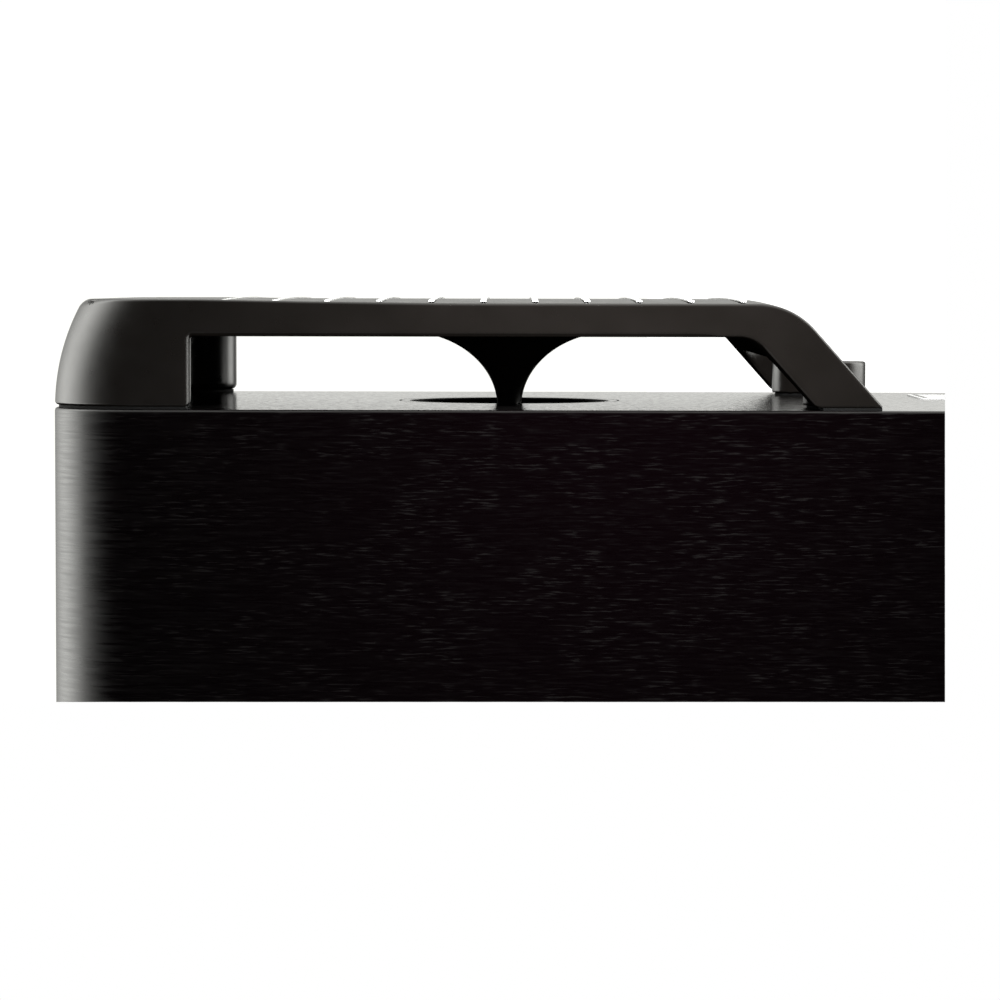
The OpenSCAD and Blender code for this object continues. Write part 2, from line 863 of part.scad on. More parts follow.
module tweeter_screws() color("#0e0e0f") on_front(tweeter_z) {
    around(4, tweeter_screw_ring, 45) screw(1.5, -15, -1.9, 2.9, 1.7);
}

module tweeter_surround() color("#121214") on_front(tweeter_z) rotate_extrude() {
    base = motor_z - clamp_t;
    translate([throat_r - 0.3, base]) square([5, clamp_t]);
    intersection() {
        translate([14.2, base + 0.1]) difference() {
            circle(1.2);
            circle(0.8);
        }
        translate([12, base + 0.1]) square([4, 3]);
    }
}

module tweeter_dome() color("#0d0d0e") on_front(tweeter_z) rotate_extrude() {
    rise = 4.6;
    sphere_r = (dome_r * dome_r + rise * rise) / (2 * rise);
    base = motor_z - clamp_t + 0.4;
    intersection() {
        translate([0, base + rise - sphere_r]) difference() {
            circle(sphere_r, $fn = 180);
            circle(sphere_r - 0.4, $fn = 180);
        }
        translate([0, base]) square([dome_r + 1, rise + 1]);
    }
}

module tweeter_voice_coil() color("#b4632a") on_front(tweeter_z) {
    ring(12.15, 12.4, motor_z - 5.5, motor_z - clamp_t + 0.4);
    ring(12.4, 12.7, motor_z - 5, motor_z - 2);
}

module tweeter_top_plate() color("#a9acaf") on_front(tweeter_z) {
    ring(13.3, 36, pole_z, motor_z - clamp_t);
}

module tweeter_magnet() color("#3a3b3e") on_front(tweeter_z) {
    ring(18, 35, pole_z - 10, pole_z);
}

module tweeter_yoke() color("#a9acaf") on_front(tweeter_z) difference() {
    union() {
        disc(33, pole_z - 14, pole_z - 10);
        disc(11.7, pole_z - 11, motor_z - clamp_t - 0.2);
    }
    disc(3, pole_z - 15, motor_z);
}

module tweeter_tags() color("#c9a64a") on_front(tweeter_z) {
    translate([-10, -37.2, pole_z - 8]) cube([20, 2.1, 4.4]);
    for (sx = [-1, 1]) translate([sx * 6 - 1.4, -43, pole_z - 7.2]) cube([2.8, 5.9, 0.5]);
}

cabinet_wrap();
front_baffle();
rear_panel();
window_brace();
damping_wadding();
rating_label();
port_tube();
port_bracket();
bracket_gasket();
diffuser_cone();
cone_screw();
bracket_bars();
bracket_screws();
terminal_plate();
terminal_gasket();
terminal_screws();
red_post_stud();
red_post_collar();
red_post_washer();
red_post_knob();
black_post_stud();
black_post_collar();
black_post_washer();
black_post_knob();
post_nuts();
crossover_board();
board_standoffs();
board_screws();
woofer_inductor();
tweeter_inductor();
board_capacitors();
board_resistors();
input_leads();
woofer_leads();
tweeter_leads();
woofer_basket();
woofer_trim_ring();
woofer_gasket();
woofer_surround();
woofer_cone();
woofer_dust_cap();
woofer_voice_coil();
woofer_spider();
woofer_top_plate();
woofer_magnet();
woofer_yoke();
woofer_tags();
woofer_screws();
tweeter_faceplate();
tweeter_surround();
tweeter_dome();
tweeter_voice_coil();
tweeter_top_plate();
tweeter_magnet();
tweeter_yoke();
tweeter_tags();
tweeter_screws();
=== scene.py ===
"""Looks of a vented bookshelf loudspeaker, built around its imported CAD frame.

Lengths are written in millimetres and turned into metres by MM. t is the distance down from the
cabinet's top, h the height above its rear face, and out the height above its front face.
"""

import json
import math

import bmesh
import bpy
import numpy as np
from mathutils import Matrix, Vector


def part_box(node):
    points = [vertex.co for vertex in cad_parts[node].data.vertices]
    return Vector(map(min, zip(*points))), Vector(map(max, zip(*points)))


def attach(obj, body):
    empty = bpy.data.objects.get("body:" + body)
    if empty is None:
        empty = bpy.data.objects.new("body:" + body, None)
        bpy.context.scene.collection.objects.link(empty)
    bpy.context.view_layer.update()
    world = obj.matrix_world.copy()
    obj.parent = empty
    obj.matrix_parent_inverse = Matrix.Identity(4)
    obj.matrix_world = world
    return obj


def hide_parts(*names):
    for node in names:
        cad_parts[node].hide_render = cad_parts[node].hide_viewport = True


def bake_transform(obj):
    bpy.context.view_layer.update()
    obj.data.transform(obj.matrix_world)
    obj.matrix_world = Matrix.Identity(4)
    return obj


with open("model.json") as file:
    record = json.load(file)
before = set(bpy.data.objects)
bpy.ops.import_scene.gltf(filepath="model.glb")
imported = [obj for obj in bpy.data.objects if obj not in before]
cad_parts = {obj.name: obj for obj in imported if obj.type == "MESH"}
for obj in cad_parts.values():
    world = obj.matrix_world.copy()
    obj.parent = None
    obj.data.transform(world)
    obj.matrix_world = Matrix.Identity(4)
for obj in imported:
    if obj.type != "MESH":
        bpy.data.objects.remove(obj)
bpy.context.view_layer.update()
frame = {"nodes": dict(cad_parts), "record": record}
NODES = frame["nodes"]
MM = 0.001

cab_low, cab_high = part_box("cabinet_wrap")
HALF_W, HEIGHT, Y_REAR, Y_IN = cab_high.x, cab_high.z, cab_high.y, cab_low.y
Y_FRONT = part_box("front_baffle")[0].y


def centre(node):
    low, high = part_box(node)
    return (low + high) / 2


PORT_Z, PLATE_Z = centre("port_tube").z, centre("terminal_plate").z
WOOFER_Z, TWEETER_Z = centre("woofer_trim_ring").z, centre("tweeter_faceplate").z
RED_X, BLACK_X = centre("red_post_stud").x, centre("black_post_stud").x


def from_rear(x, z):
    """Turns local +Z out of the rear face, at x and z."""
    return Matrix(((-1, 0, 0, x), (0, 0, 1, Y_REAR), (0, 1, 0, z), (0, 0, 0, 1)))


def from_front(x, z):
    """Turns local +Z out of the front face, at x and z."""
    return Matrix(((1, 0, 0, x), (0, 0, -1, Y_FRONT), (0, 1, 0, z), (0, 0, 0, 1)))


# ---- materials ----


class Shader:
    """A material's nodes, with short calls for the ones used here."""

    def __init__(self, name, color, rough, metallic=0.0, specular=0.5, **sockets):
        self.mat = bpy.data.materials.new(name)
        self.mat.use_nodes = True
        self.tree = self.mat.node_tree
        self.bsdf = self.tree.nodes["Principled BSDF"]
        self.bsdf.inputs["Base Color"].default_value = (*color, 1)
        self.bsdf.inputs["Roughness"].default_value = rough
        self.bsdf.inputs["Metallic"].default_value = metallic
        self.bsdf.inputs["Specular IOR Level"].default_value = specular
        for key, value in sockets.items():
            self.bsdf.inputs[key.replace("_", " ")].default_value = value
        self.place = self.add("ShaderNodeTexCoord").outputs["Object"]

    def add(self, kind, **settings):
        node = self.tree.nodes.new(kind)
        for key, value in settings.items():
            setattr(node, key, value)
        return node

    def link(self, source, target):
        self.tree.links.new(source, target)

    def noise(self, size_mm, stretch=(1, 1, 1), detail=3.0, distortion=0.0, rough=0.5):
        """Noise whose features are about size_mm wide, drawn out along the axes with a large stretch."""
        mapping = self.add("ShaderNodeMapping")
        mapping.inputs["Scale"].default_value = [1 / (size_mm * MM * s) for s in stretch]
        node = self.add("ShaderNodeTexNoise")
        node.inputs["Scale"].default_value = 1.0
        node.inputs["Detail"].default_value = detail
        node.inputs["Roughness"].default_value = rough
        node.inputs["Distortion"].default_value = distortion
        self.link(self.place, mapping.inputs["Vector"])
        self.link(mapping.outputs["Vector"], node.inputs["Vector"])
        return node.outputs["Fac"]

    def ramp(self, source, *stops):
        """A colour or grey ramp with (position, value or colour) stops."""
        node = self.add("ShaderNodeValToRGB")
        elements = node.color_ramp.elements
        while len(elements) < len(stops):
            elements.new(0.5)
        for element, (position, value) in zip(elements, stops):
            element.position = position
            element.color = (*value, 1) if hasattr(value, "__len__") else (value, value, value, 1)
        self.link(source, node.inputs["Fac"])
        return node.outputs["Color"]

    def math(self, operation, a, b=None, c=None):
        node = self.add("ShaderNodeMath", operation=operation)
        for socket, value in zip(node.inputs, (a, b, c)):
            if value is None:
                continue
            if isinstance(value, (int, float)):
                socket.default_value = value
            else:
                self.link(value, socket)
        return node.outputs[0]

    def color(self, source):
        self.link(source, self.bsdf.inputs["Base Color"])
        return self

    def roughness(self, source):
        self.link(source, self.bsdf.inputs["Roughness"])
        return self

    def outlook(self, *stops):
        """A ramp over how far the surface looks out of the rear panel: 0 inward, 0.5 sideways, 1 outward."""
        split = self.add("ShaderNodeSeparateXYZ")
        self.link(self.add("ShaderNodeTexCoord").outputs["Normal"], split.inputs[0])
        return self.ramp(self.math("MULTIPLY_ADD", split.outputs["Y"], 0.5, 0.5), *stops)

    def bump(self, source, depth_mm, strength=1.0):
        node = self.add("ShaderNodeBump")
        node.inputs["Strength"].default_value = strength
        node.inputs["Distance"].default_value = depth_mm * MM
        if self.bsdf.inputs["Normal"].links:
            self.link(self.bsdf.inputs["Normal"].links[0].from_socket, node.inputs["Normal"])
        self.link(source, node.inputs["Height"])
        self.link(node.outputs["Normal"], self.bsdf.inputs["Normal"])
        return self


def ash_vinyl():
    """Black ash foil: short fine fibres that run up the cabinet, in loose bands."""
    s = Shader("ash_vinyl", (0.006, 0.006, 0.006), 0.3, specular=0.36)
    fibres = s.noise(0.5, (12, 1, 12), detail=2.0, distortion=0.1)
    bands = s.noise(7, (3, 1, 3), detail=1.0)
    ridges = s.noise(0.9, (18, 1, 18), detail=3.0)
    streaks = s.ramp(fibres, (0.52, 0.0), (0.66, 1.0))
    mask = s.math("MULTIPLY", streaks, s.ramp(bands, (0.3, 0.35), (0.6, 1.0)))
    ground, middle, light = (0.0007, 0.0002, 0.0004), (0.0014, 0.0009, 0.0011), (0.0042, 0.0036, 0.0037)
    s.color(s.ramp(mask, (0.0, ground), (0.6, middle), (1.0, light)))
    s.roughness(s.ramp(ridges, (0.35, 0.22), (0.7, 0.42)))
    s.bump(fibres, 0.03)
    return s.bump(ridges, 0.05).mat


def rear_vinyl():
    """The same foil pressed smoother, with a fine pebbling that breaks up its reflections."""
    s = Shader("rear_vinyl", (0.004, 0.0038, 0.0038), 0.13, specular=0.5)
    pebbles = s.noise(0.9, (1, 1, 1.6), detail=2.0)
    fibres = s.noise(0.7, (1, 1, 10), detail=2.0)
    s.color(s.ramp(fibres, (0.4, (0.0025, 0.0022, 0.0022)), (0.7, (0.008, 0.0075, 0.0073))))
    s.roughness(s.ramp(pebbles, (0.35, 0.11), (0.7, 0.22)))
    return s.bump(pebbles, 0.0065).mat


def bracket_moulding():
    """Black moulded plastic: satin at its sides, dull on its flat top, and matt where it faces the panel."""
    s = Shader("bracket_plastic", (0.0052, 0.0044, 0.0039), 0.3, specular=0.42)
    s.color(s.ramp(s.noise(14, detail=3.0), (0.3, (0.0046, 0.0039, 0.0034)), (0.7, (0.0058, 0.0049, 0.0044))))
    polish = s.outlook((0.18, 0.0), (0.3, 0.42), (0.93, 0.42), (0.98, 0.12))
    s.link(polish, s.bsdf.inputs["Specular IOR Level"])
    s.roughness(s.ramp(s.noise(5, detail=4.0), (0.3, 0.27), (0.7, 0.34)))
    return s.bump(s.noise(0.2, detail=2.0), 0.008).mat


def port_moulding():
    """Black plastic, dull down the flare and the bore, and polished on the flat rim round the mouth."""
    s = Shader("port_plastic", (0.0035, 0.0033, 0.0033), 0.55, specular=0.1)
    s.color(s.ramp(s.noise(14, detail=3.0), (0.3, (0.0026, 0.0025, 0.0025)), (0.7, (0.0044, 0.0042, 0.0042))))
    s.link(s.outlook((0.988, 0.1), (0.998, 0.5)), s.bsdf.inputs["Specular IOR Level"])
    s.roughness(s.outlook((0.988, 0.55), (0.998, 0.16)))
    return s.bump(s.noise(0.4, detail=2.0), 0.003).mat


def moulding(name, color, rough, grain_mm=0.22, depth_mm=0.006, mottle=0.25, specular=0.5, **sockets):
    """Moulded plastic with a fine spark-eroded grain and slight unevenness in tone and gloss."""
    s = Shader(name, color, rough, specular=specular, **sockets)
    cloud = s.noise(14, detail=3.0)
    dark, light = [c * (1 - mottle) for c in color], [c * (1 + mottle) for c in color]
    s.color(s.ramp(cloud, (0.3, dark), (0.7, light)))
    s.roughness(s.ramp(s.noise(5, detail=4.0), (0.3, rough - 0.04), (0.7, rough + 0.05)))
    return s.bump(s.noise(grain_mm, detail=2.0), depth_mm).mat


def metal(name, color, rough, scratch=(1, 1, 1), size_mm=0.3):
    s = Shader(name, color, rough, metallic=1.0)
    s.color(s.ramp(s.noise(6, detail=4.0), (0.3, [c * 0.82 for c in color]), (0.7, color)))
    s.roughness(s.ramp(s.noise(size_mm, scratch, detail=4.0), (0.3, rough - 0.08), (0.7, rough + 0.1)))
    return s.bump(s.noise(size_mm, scratch, detail=3.0), 0.004).mat


def fibre(name, color, size_mm, depth_mm, rough=0.9, stretch=(1, 1, 1), spread=0.35, **sockets):
    """Fibrous stuff: board, felt, wadding, cloth."""
    s = Shader(name, color, rough, specular=0.25, **sockets)
    strands = s.noise(size_mm, stretch, detail=6.0, distortion=0.6, rough=0.65)
    dark, light = [c * (1 - spread) for c in color], [min(1, c * (1 + spread)) for c in color]
    s.color(s.ramp(strands, (0.3, dark), (0.7, light)))
    return s.bump(strands, depth_mm).mat


def weave(name, color, pitch_mm, depth_mm, rough, **sockets):
    """Cloth woven in X and Z, as on the dome and the spider."""
    s = Shader(name, color, rough, specular=0.3, **sockets)
    split = s.add("ShaderNodeSeparateXYZ")
    s.link(s.place, split.inputs[0])
    turns = 2 * math.pi / (pitch_mm * MM)
    warp = s.math("SINE", s.math("MULTIPLY", split.outputs["X"], turns))
    weft = s.math("SINE", s.math("MULTIPLY", split.outputs["Z"], turns))
    cloth = s.math("MULTIPLY_ADD", s.math("MULTIPLY", warp, weft), 0.5, 0.5)
    s.color(s.ramp(cloth, (0.1, [c * 0.6 for c in color]), (0.9, [min(1, c * 1.3) for c in color])))
    return s.bump(s.math("ADD", cloth, s.noise(2, detail=3.0)), depth_mm).mat


def cone_poly():
    """Mica-filled polypropylene: near-black with fine pale flecks."""
    s = Shader("cone_poly", (0.02, 0.02, 0.021), 0.38, specular=0.45)
    flecks = s.noise(0.5, (1, 1, 1), detail=1.0, distortion=2.0)
    s.color(s.ramp(flecks, (0.55, (0.014, 0.014, 0.015)), (0.72, (0.05, 0.05, 0.052))))
    s.roughness(s.ramp(s.noise(3, detail=3.0), (0.3, 0.34), (0.7, 0.46)))
    return s.bump(s.noise(0.6, detail=2.0), 0.02).mat


def label_foil():
    """Satin foil with a plain dark printed frame, and no lettering."""
    s = Shader("label_foil", (0.7, 0.71, 0.7), 0.35)
    low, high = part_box("rating_label")
    split = s.add("ShaderNodeSeparateXYZ")
    s.link(s.place, split.inputs[0])
    edges = []
    for axis, a, b in (("X", low.x, high.x), ("Z", low.z, high.z)):
        off = s.math("ABSOLUTE", s.math("SUBTRACT", split.outputs[axis], (a + b) / 2))
        edges.append(s.math("SUBTRACT", (b - a) / 2, off))
    inset = s.math("DIVIDE", s.math("MINIMUM", *edges), 5 * MM)
    frame_line = s.ramp(inset, (0.26, 0.0), (0.3, 1.0), (0.58, 1.0), (0.62, 0.0))
    tone = s.ramp(s.noise(4, detail=4.0), (0.3, 0.62), (0.7, 0.74))
    mix = s.add("ShaderNodeMix", data_type="RGBA")
    s.link(frame_line, mix.inputs["Factor"])
    s.link(tone, mix.inputs[6])
    mix.inputs[7].default_value = (0.02, 0.02, 0.02, 1)
    s.color(mix.outputs[2])
    return s.bump(s.noise(0.5, detail=2.0), 0.004).mat


def circuit_board():
    """Green solder mask with darker tracks showing through."""
    s = Shader("board_green", (0.03, 0.16, 0.06), 0.35)
    cells = s.add("ShaderNodeTexVoronoi", feature="DISTANCE_TO_EDGE", distance="CHEBYCHEV")
    cells.inputs["Scale"].default_value = 1 / (9 * MM)
    s.link(s.place, cells.inputs["Vector"])
    tracks = s.ramp(cells.outputs["Distance"], (0.08, (0.05, 0.26, 0.1)), (0.14, (0.02, 0.12, 0.045)))
    s.color(tracks)
    return s.bump(cells.outputs["Distance"], 0.03).mat


def wound(name, color, rough, pitch_mm, axis, metallic=0.6):
    """Windings of enamelled wire, or the turned grooves of a cast part."""
    s = Shader(name, color, rough, metallic=metallic)
    split = s.add("ShaderNodeSeparateXYZ")
    s.link(s.place, split.inputs[0])
    turns = s.math("SINE", s.math("MULTIPLY", split.outputs[axis], 2 * math.pi / (pitch_mm * MM)))
    shade = s.math("MULTIPLY_ADD", turns, 0.35, s.noise(2, detail=2.0))
    s.color(s.ramp(shade, (0.1, [c * 0.55 for c in color]), (0.8, color)))
    return s.bump(turns, 0.08).mat


SLOTS = {
    "ash_vinyl": ash_vinyl(),
    "rear_vinyl": rear_vinyl(),
    "baffle_paint": moulding("baffle_paint", (0.012, 0.012, 0.0125), 0.48, 0.5, 0.012, 0.15),
    "raw_mdf": fibre("raw_mdf", (0.42, 0.29, 0.17), 1.2, 0.05),
    "wadding": fibre("wadding", (0.75, 0.74, 0.7), 2.5, 0.9, spread=0.2),
    "label_foil": label_foil(),
    "port_plastic": port_moulding(),
    "bracket_plastic": bracket_moulding(),
    "foam": fibre("foam", (0.006, 0.006, 0.006), 0.6, 0.1, 0.95),
    # bar_ink: the near-white of these bars is a painted highlight. It stands in for light caught on the edges
    # of raised lettering along the top of the bracket.
    "bar_ink": moulding("bar_ink", (0.78, 0.78, 0.77), 0.4, 0.3, 0.003, 0.04),
    "black_screw": metal("black_screw", (0.03, 0.03, 0.032), 0.42),
    "terminal_plastic": moulding("terminal_plastic", (0.013, 0.013, 0.0135), 0.44, 0.3, 0.01),
    "red_plastic": moulding("red_plastic", (0.42, 0.012, 0.012), 0.24, 0.8, 0.004, 0.1),
    "black_plastic": moulding("black_plastic", (0.01, 0.01, 0.01), 0.24, 0.8, 0.004, 0.1),
    "gilt_brass": metal("gilt_brass", (0.86, 0.62, 0.26), 0.24),
    "board_green": circuit_board(),
    "nylon": moulding("nylon", (0.7, 0.68, 0.6), 0.45, 0.5, 0.01, 0.08, Subsurface_Weight=0.05),
    "zinc_screw": metal("zinc_screw", (0.6, 0.62, 0.65), 0.32),
    "copper": wound("copper", (0.62, 0.25, 0.1), 0.32, 0.9, "Z"),
    "capacitor_film": moulding("capacitor_film", (0.55, 0.42, 0.06), 0.3, 2.0, 0.01, 0.12),
    "ceramic": fibre("ceramic", (0.78, 0.76, 0.7), 0.5, 0.03, 0.85, spread=0.12),
    "lead_red": moulding("lead_red", (0.3, 0.015, 0.015), 0.42, 0.6, 0.01, 0.15),
    "lead_grey": moulding("lead_grey", (0.03, 0.03, 0.036), 0.42, 0.6, 0.01, 0.15),
    "basket_paint": moulding("basket_paint", (0.015, 0.015, 0.016), 0.55, 0.5, 0.03, 0.2),
    "rubber": moulding("rubber", (0.012, 0.012, 0.0125), 0.55, 0.25, 0.006, 0.2, Sheen_Weight=0.15),
    "cone_poly": cone_poly(),
    "spider_cloth": weave("spider_cloth", (0.5, 0.3, 0.07), 0.8, 0.06, 0.8),
    "plated_steel": metal("plated_steel", (0.58, 0.59, 0.6), 0.32, (8, 1, 1)),
    "ferrite": fibre("ferrite", (0.035, 0.035, 0.037), 0.4, 0.03, 0.6),
    "silk": weave("silk", (0.011, 0.011, 0.0115), 0.35, 0.02, 0.55, Sheen_Weight=0.2),
}
NODE_SLOT = {part["node"]: part["material_slot"] for part in frame["record"]["subparts"]}
for node, slot_name in NODE_SLOT.items():
    cad = NODES[node]
    if not cad.material_slots:
        cad.data.materials.append(SLOTS[slot_name])
    for material_slot in cad.material_slots:
        material_slot.material = SLOTS[slot_name]

# ---- mesh tools ----


def piece(name, mesh, replaces, body="root", sharp=35.0):
    """An object of this mesh, that rides on the body and stands for the CAD nodes."""
    obj = bpy.data.objects.new(name, mesh)
    bpy.context.scene.collection.objects.link(obj)
    slot_name = NODE_SLOT[replaces[0]]
    mesh.materials.append(SLOTS[slot_name])
    mesh.shade_smooth()
    if sharp:
        mesh.set_sharp_from_angle(angle=math.radians(sharp))
        obj.modifiers.new("weighted", "WEIGHTED_NORMAL").keep_sharp = True
    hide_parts(*replaces)
    if body:
        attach(obj, body)
    return obj


def mesh_of(name, bm):
    bmesh.ops.recalc_face_normals(bm, faces=bm.faces)
    mesh = bpy.data.meshes.new(name)
    bm.to_mesh(mesh)
    bm.free()
    return mesh


def join_loops(bm, a, b):
    """Faces between two closed loops of vertices, either of which may be a single point."""
    count = max(len(a), len(b))
    if count == 1:
        return
    for k in range(count):
        n = (k + 1) % count
        corners = [a[k % len(a)], a[n % len(a)], b[n % len(b)], b[k % len(b)]]
        bm.faces.new(list(dict.fromkeys(corners)))


def fill(bm, *loops):
    """A flat face inside the first loop, with the others as holes."""
    edges = []
    for loop in loops:
        for k, v in enumerate(loop):
            pair = (v, loop[(k + 1) % len(loop)])
            edges.append(bm.edges.get(pair) or bm.edges.new(pair))
    bmesh.ops.triangle_fill(bm, use_beauty=True, edges=edges)


def soften(points, closed=False, steps=5):
    """A path through (a, b, radius) corners, each rounded to about its radius."""
    path = []
    for i, (x, y, r) in enumerate(points):
        if r == 0 or (not closed and i in (0, len(points) - 1)):
            path.append((x, y))
            continue
        p = Vector((x, y))
        back = Vector(points[i - 1][:2]) - p
        on = Vector(points[(i + 1) % len(points)][:2]) - p
        cut = min(r / math.tan(back.angle(on) / 2), back.length * 0.49, on.length * 0.49)
        start, end = p + back.normalized() * cut, p + on.normalized() * cut
        for k in range(steps + 1):
            f = k / steps
            q = start * (1 - f) ** 2 + p * (2 * f * (1 - f)) + end * f**2
            path.append((q.x, q.y))
    return path


def lathe(
    name, profile, where, replaces, body="root", segments=144, flutes=0, flute_mm=0.0, closed=True, sharp=35.0
):
    """A turned piece: (radius, height) points swept round local Z. Flutes wave its outer wall."""
    bm = bmesh.new()
    widest = max(r for r, _ in profile)
    rows = []
    for r, z in profile:
        if r < 1e-6:
            rows.append([bm.verts.new(where @ Vector((0, 0, z * MM)))])
            continue
        row = []
        for k in range(segments):
            a = 2 * math.pi * k / segments
            fluted = r > widest - 1.2 * flute_mm - 0.3
            wave = flute_mm * max(0.0, math.cos(flutes * a)) ** 2 if fluted else 0.0
            reach = (r - wave) * MM
            row.append(bm.verts.new(where @ Vector((reach * math.cos(a), reach * math.sin(a), z * MM))))
        rows.append(row)
    for a, b in zip(rows, rows[1:]):
        join_loops(bm, a, b)
    if closed and len(rows[0]) > 1:
        join_loops(bm, rows[-1], rows[0])
    return piece(name, mesh_of(name, bm), replaces, body, sharp)


def round_rect(w, h, r, steps=8):
    """Points round a rectangle with rounded corners, centred on the origin."""
    points = []
    for quarter in range(4):
        sx, sy = (1, 1, -1, -1)[quarter], (1, -1, -1, 1)[quarter]
        for k in range(steps + 1):
            a = math.radians(90 - 90 * quarter - 90 * k / steps)
            points.append((sx * (w / 2 - r) + r * math.cos(a), sy * (h / 2 - r) + r * math.sin(a)))
    return points


def circle(r, x=0.0, y=0.0, steps=96):
    angles = [2 * math.pi * k / steps for k in range(steps)]
    return [(x + r * math.cos(a), y + r * math.sin(a)) for a in angles]


def loop_at(bm, points, height, where):
    """Vertices for an outline in local X and Y at a height along local Z."""
    return [bm.verts.new(where @ Vector((x * MM, y * MM, height * MM))) for x, y in points]


# ---- a smooth moulded body from a distance field ----


def rounded(a, b, r):
    """Where two shapes both are, with the edge between them rounded to radius r."""
    a, b = a + r, b + r
    return np.minimum(np.maximum(a, b), 0) + np.hypot(np.maximum(a, 0), np.maximum(b, 0)) - r


def bent(a, b, cos, r):
    """Where two half-spaces both are, whose normals are cos apart, rounded to a true radius r."""
    a, b = a + r, b + r
    corner = np.sqrt(np.maximum(a * a + b * b - 2 * a * b * cos, 0)) / math.sqrt(1 - cos * cos)
    return np.where((a > b * cos) & (b > a * cos), corner, np.maximum(a, b)) - r


def lines(*spans):
    """Grid lines over (start, stop, step) spans."""
    parts = [np.linspace(a, b, max(2, round((b - a) / step) + 1))[:-1] for a, b, step in spans]
    return np.concatenate([*parts, [spans[-1][1]]])


def moulded(name, distance, axes, where):
    """The closed surface where distance is 0, on a grid of lines, with each vertex moved onto it."""
    field = distance(*np.meshgrid(*axes, indexing="ij"))
    cells = tuple(n - 1 for n in field.shape)
    total, count = np.zeros((*cells, 3)), np.zeros(cells)
    quads = []
    for axis in range(3):
        low = np.take(field, range(field.shape[axis] - 1), axis)
        high = np.take(field, range(1, field.shape[axis]), axis)
        at = np.argwhere((low < 0) != (high < 0))
        v0, v1 = low[tuple(at.T)], high[tuple(at.T)]
        point = np.stack([axes[i][at[:, i]] for i in range(3)], 1)
        point[:, axis] += v0 / (v0 - v1) * (axes[axis][at[:, axis] + 1] - axes[axis][at[:, axis]])
        side = [i for i in range(3) if i != axis]
        corners = []
        for da, db in ((0, 0), (1, 0), (1, 1), (0, 1)):
            cell = at.copy()
            cell[:, side[0]] -= da
            cell[:, side[1]] -= db
            index = tuple(cell.T)
            np.add.at(total, index, point)
            np.add.at(count, index, 1)
            corners.append(np.ravel_multi_index(index, cells))
        quad = np.stack(corners, 1)
        flip = (v0 < 0) == (axis == 1)
        quad[flip] = quad[flip][:, ::-1]
        quads.append(quad)
    used = np.argwhere(count > 0)
    points = total[tuple(used.T)] / count[tuple(used.T)][:, None]
    number = np.full(count.size, -1)
    number[np.ravel_multi_index(tuple(used.T), cells)] = np.arange(len(used))
    quads = number[np.concatenate(quads)]
    step = 0.01
    for _ in range(5):
        slope = np.stack([
            (distance(*(points + step * e).T) - distance(*(points - step * e).T)) / (2 * step)
            for e in np.eye(3)
        ], 1)
        move = slope * (distance(*points.T) / np.maximum((slope**2).sum(1), 0.05))[:, None]
        points -= np.clip(move, -0.4, 0.4)
    mesh = bpy.data.meshes.new(name)
    mesh.from_pydata([where(*p) for p in points], [], quads.tolist())
    mesh.update()
    return mesh


# ---- cabinet ----

EDGE = 1.0
WALL = 15.0
W, H = 2 * HALF_W / MM, HEIGHT / MM
at_rear, at_front = from_rear(0, HEIGHT / 2), from_front(0, HEIGHT / 2)


def cabinet_loop(bm, inset, height, where):
    corner = 26 - inset
    return loop_at(bm, round_rect(W - 2 * inset, H - 2 * inset, corner, 20), height, where)


def cabinet_shell():
    bm = bmesh.new()
    depth = (Y_REAR - Y_IN) / MM
    path = [(WALL, -depth), (0.5, -depth), (0, 0.5 - depth), (0, -EDGE)]
    path += [(EDGE * (1 - math.cos(a)), EDGE * (math.sin(a) - 1)) for a in np.radians([22.5, 45, 67.5, 90])]
    rows = [cabinet_loop(bm, inset, height, at_rear) for inset, height in path]
    inner = cabinet_loop(bm, WALL, -WALL, at_rear)
    for a, b in zip([inner, *rows], rows):
        join_loops(bm, a, b)
    join_loops(bm, rows[-1], inner)
    piece("cabinet_shell", mesh_of("cabinet_shell", bm), ["cabinet_wrap"])


def rear_face():
    bm = bmesh.new()
    outlines = [circle(34.65, 0, (PORT_Z - HEIGHT / 2) / MM)]
    outlines.append([(x, y + (PLATE_Z - HEIGHT / 2) / MM) for x, y in round_rect(71, 39, 5)])
    faces = []
    for inset, height in ((EDGE, 0), (WALL, -WALL)):
        rim = cabinet_loop(bm, inset, height, at_rear)
        holes = [loop_at(bm, outline, height, at_rear) for outline in outlines]
        fill(bm, rim, *holes)
        faces.append((rim, *holes))
    for a, b in zip(*faces):
        join_loops(bm, a, b)
    piece("rear_face", mesh_of("rear_face", bm), ["rear_panel"])


def baffle():
    bm = bmesh.new()
    depth = (Y_IN - Y_FRONT) / MM
    path = [(0.5, -depth), (0, 0.5 - depth), (0, -2)]
    path += [(2 * (1 - math.cos(a)), 2 * (math.sin(a) - 1)) for a in np.radians([18, 36, 54, 72, 90])]
    rows = [cabinet_loop(bm, inset, height, at_front) for inset, height in path]
    for a, b in zip(rows, rows[1:]):
        join_loops(bm, a, b)
    front_holes, back_holes = [], []
    for z, rebate_r, rebate_d, hole_r in ((WOOFER_Z, 83.4, 5, 74.5), (TWEETER_Z, 50.3, 4, 38)):
        off = (z - HEIGHT / 2) / MM
        steps = (
            (rebate_r + 0.4, 0), (rebate_r, -0.4), (rebate_r, -rebate_d), (hole_r, -rebate_d), (hole_r, -depth)
        )
        hole = [loop_at(bm, circle(r, 0, off), height, at_front) for r, height in steps]
        for a, b in zip(hole, hole[1:]):
            join_loops(bm, a, b)
        front_holes.append(hole[0])
        back_holes.append(hole[-1])
    fill(bm, rows[-1], *front_holes)
    fill(bm, rows[0], *back_holes)
    piece("baffle", mesh_of("baffle", bm), ["front_baffle"])


cabinet_shell()
rear_face()
baffle()

# ---- port, bracket and diffuser ----

